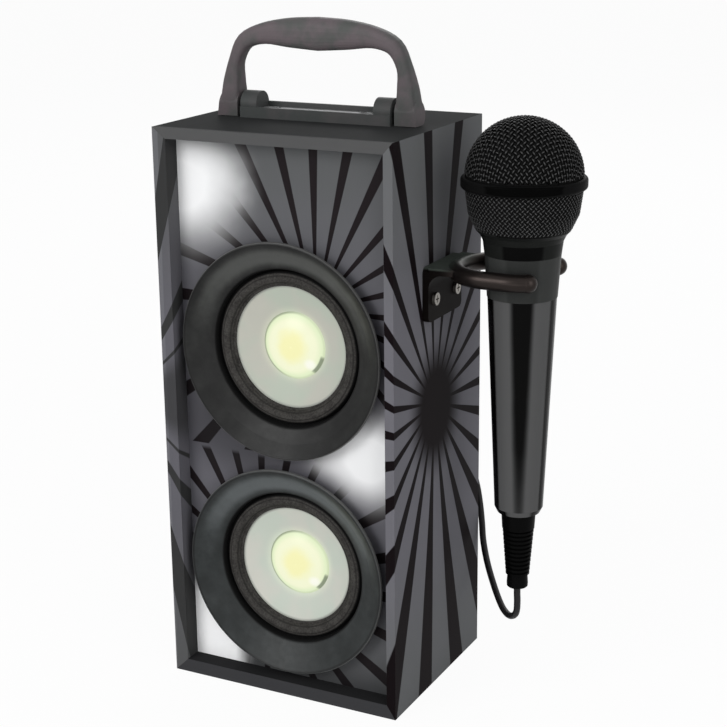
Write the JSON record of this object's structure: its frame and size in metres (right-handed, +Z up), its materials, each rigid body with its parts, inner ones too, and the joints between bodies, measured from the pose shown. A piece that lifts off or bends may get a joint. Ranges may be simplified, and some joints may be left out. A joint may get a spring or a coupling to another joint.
{
  "type": "portable karaoke speaker tower",
  "caption": "Grey tower cabinet with two lit speakers, a folding carry handle and a wired ball microphone hanging in a side holder; no disc tray",
  "frame": {"origin": "middle of the cabinet's underside", "axes": "+X to the side with the microphone, -Y out of the front with the speakers, +Z up"},
  "size_m": [0.1895, 0.1573, 0.3166],
  "materials": {
    "painted_cabinet": "satin grey printed with a dark sunburst",
    "trim_black": "satin black",
    "rubber": "matt black rubber",
    "cone_pale": "pale satin diaphragm, lit from inside",
    "dome_clear": "translucent gloss, lit from behind",
    "steel": "plain steel",
    "magnet": "dark plated",
    "copper": "wound wire",
    "handle_plastic": "satin dark grey",
    "bright_metal": "bright plated metal",
    "gloss_black": "gloss black",
    "mesh": "black woven wire",
    "satin_black": "satin black",
    "foam": "open foam",
    "cord_rubber": "matt black jacket",
    "wood": "plain softwood",
    "board_green": "lacquered circuit board",
    "cell_wrap": "shrink wrap",
    "lens": "clear lens"
  },
  "bodies": {
    "cabinet": {"left_panel": "painted_cabinet", "right_panel": "painted_cabinet", "top_panel": "painted_cabinet", "bottom_panel": "painted_cabinet", "front_baffle": "painted_cabinet", "back_panel": "trim_black", "back_battens": "wood", "back_panel_screws": "steel", "upper_trim": "trim_black", "upper_surround": "rubber", "upper_basket": "steel", "upper_magnet": "magnet", "upper_light_board": "lens", "lower_trim": "trim_black", "lower_surround": "rubber", "lower_basket": "steel", "lower_magnet": "magnet", "lower_light_board": "lens", "speaker_screws": "steel", "handle_pins": "steel", "handle_base": "handle_plastic", "handle_plate": "bright_metal", "handle_screws": "gloss_black", "mic_holder": "gloss_black", "mic_holder_screws": "bright_metal", "mic_plug": "gloss_black", "cord_front": "cord_rubber", "cord_coil": "cord_rubber", "cord_back": "cord_rubber", "cord_tie": "cord_rubber", "control_panel": "trim_black", "control_panel_screws": "steel", "mic_jack": "satin_black", "aux_jack": "satin_black", "usb_socket": "steel", "charging_port": "steel", "status_light": "lens", "circuit_board": "board_green", "battery_pack": "cell_wrap"},
    "handle_arm": {"handle": "handle_plastic"},
    "microphone": {"mic_grille_upper": "mesh", "mic_grille_lower": "mesh", "mic_band": "satin_black", "mic_neck": "satin_black", "mic_collar": "satin_black", "mic_body": "gloss_black", "mic_capsule": "steel", "mic_foam": "foam", "mic_strain_relief": "cord_rubber"},
    "upper_diaphragm": {"upper_cone": "cone_pale", "upper_dome": "dome_clear", "upper_voice_coil": "copper"},
    "lower_diaphragm": {"lower_cone": "cone_pale", "lower_dome": "dome_clear", "lower_voice_coil": "copper"},
    "power_slider": {"power_switch": "satin_black"},
    "mode_button_body": {"mode_button": "satin_black"},
    "previous_button_body": {"previous_button": "satin_black"},
    "play_button_body": {"play_button": "satin_black"},
    "next_button_body": {"next_button": "satin_black"}
  },
  "joints": [
    {"name": "handle_fold", "type": "hinge", "parent": "cabinet", "child": "handle_arm", "pos_m": [0, 0, 0.276], "axis": [-1, 0, 0], "range_deg": [0, 90]},
    {"name": "microphone_lift", "type": "slide", "parent": "cabinet", "child": "microphone", "axis": [0, 0, 1], "range_m": [0, 0.16]},
    {"name": "upper_diaphragm_travel", "type": "slide", "parent": "cabinet", "child": "upper_diaphragm", "axis": [0, -1, 0], "range_m": [-0.0015, 0.0015], "stiffness_N_per_m": 1000, "deforming": ["upper_surround"]},
    {"name": "lower_diaphragm_travel", "type": "slide", "parent": "cabinet", "child": "lower_diaphragm", "axis": [0, -1, 0], "range_m": [-0.0015, 0.0015], "stiffness_N_per_m": 1000, "deforming": ["lower_surround"]},
    {"name": "mode_button_press", "type": "slide", "parent": "cabinet", "child": "mode_button_body", "axis": [0, -1, 0], "range_m": [0, 0.001], "stiffness_N_per_m": 400, "springref_m": -0.0005},
    {"name": "previous_button_press", "type": "slide", "parent": "cabinet", "child": "previous_button_body", "axis": [0, -1, 0], "range_m": [0, 0.001], "stiffness_N_per_m": 400, "springref_m": -0.0005},
    {"name": "play_button_press", "type": "slide", "parent": "cabinet", "child": "play_button_body", "axis": [0, -1, 0], "range_m": [0, 0.001], "stiffness_N_per_m": 400, "springref_m": -0.0005},
    {"name": "next_button_press", "type": "slide", "parent": "cabinet", "child": "next_button_body", "axis": [0, -1, 0], "range_m": [0, 0.001], "stiffness_N_per_m": 400, "springref_m": -0.0005},
    {"name": "power_slide", "type": "slide", "parent": "cabinet", "child": "power_slider", "axis": [1, 0, 0], "range_m": [0, 0.003]}
  ]
}
